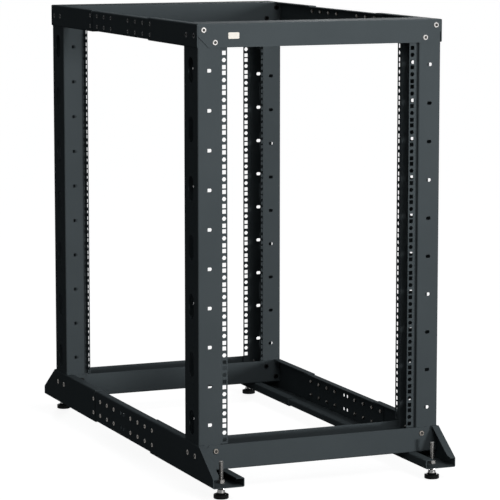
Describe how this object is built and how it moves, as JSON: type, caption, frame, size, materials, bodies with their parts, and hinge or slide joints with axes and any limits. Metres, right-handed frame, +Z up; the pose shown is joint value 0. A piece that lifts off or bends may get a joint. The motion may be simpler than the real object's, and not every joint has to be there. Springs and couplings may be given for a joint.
{
  "type": "four post open frame equipment rack",
  "caption": "Free-standing open equipment rack: two perforated post frames joined by telescopic side beams, on levelling feet.",
  "frame": {"origin": "on the floor, below the middle of the rack", "axes": "+X to the right seen from the front, +Y to the rear, +Z up"},
  "size_m": [0.603, 1.204, 1.0625],
  "materials": {
    "powder_coat": "black powder coat with a fine texture",
    "plated_steel": "zinc plated",
    "foot_pad": "moulded black"
  },
  "bodies": {
    "frame": {"front_left_post": "powder_coat", "front_left_foot_beam": "powder_coat", "front_left_top_side_beam": "powder_coat", "front_left_lock_nut": "plated_steel", "front_right_post": "powder_coat", "front_right_foot_beam": "powder_coat", "front_right_top_side_beam": "powder_coat", "front_right_lock_nut": "plated_steel", "front_top_beam": "powder_coat", "front_bottom_beam": "powder_coat", "rear_left_post": "powder_coat", "rear_left_foot_beam": "powder_coat", "rear_left_top_side_beam": "powder_coat", "rear_left_lock_nut": "plated_steel", "rear_right_post": "powder_coat", "rear_right_foot_beam": "powder_coat", "rear_right_top_side_beam": "powder_coat", "rear_right_lock_nut": "plated_steel", "rear_top_beam": "powder_coat", "rear_bottom_beam": "powder_coat", "left_top_middle_beam": "powder_coat", "left_bottom_middle_beam": "powder_coat", "right_top_middle_beam": "powder_coat", "right_bottom_middle_beam": "powder_coat"},
    "front_left_foot": {"front_left_pad": "foot_pad", "front_left_stud": "plated_steel"},
    "front_right_foot": {"front_right_pad": "foot_pad", "front_right_stud": "plated_steel"},
    "rear_left_foot": {"rear_left_pad": "foot_pad", "rear_left_stud": "plated_steel"},
    "rear_right_foot": {"rear_right_pad": "foot_pad", "rear_right_stud": "plated_steel"}
  },
  "joints": [
    {"name": "front_left_foot_height", "type": "slide", "parent": "frame", "child": "front_left_foot", "axis": [0, 0, 1], "range_m": [-0.015, 0.006]},
    {"name": "front_right_foot_height", "type": "slide", "parent": "frame", "child": "front_right_foot", "axis": [0, 0, 1], "range_m": [-0.015, 0.006]},
    {"name": "rear_left_foot_height", "type": "slide", "parent": "frame", "child": "rear_left_foot", "axis": [0, 0, 1], "range_m": [-0.015, 0.006]},
    {"name": "rear_right_foot_height", "type": "slide", "parent": "frame", "child": "rear_right_foot", "axis": [0, 0, 1], "range_m": [-0.015, 0.006]}
  ]
}
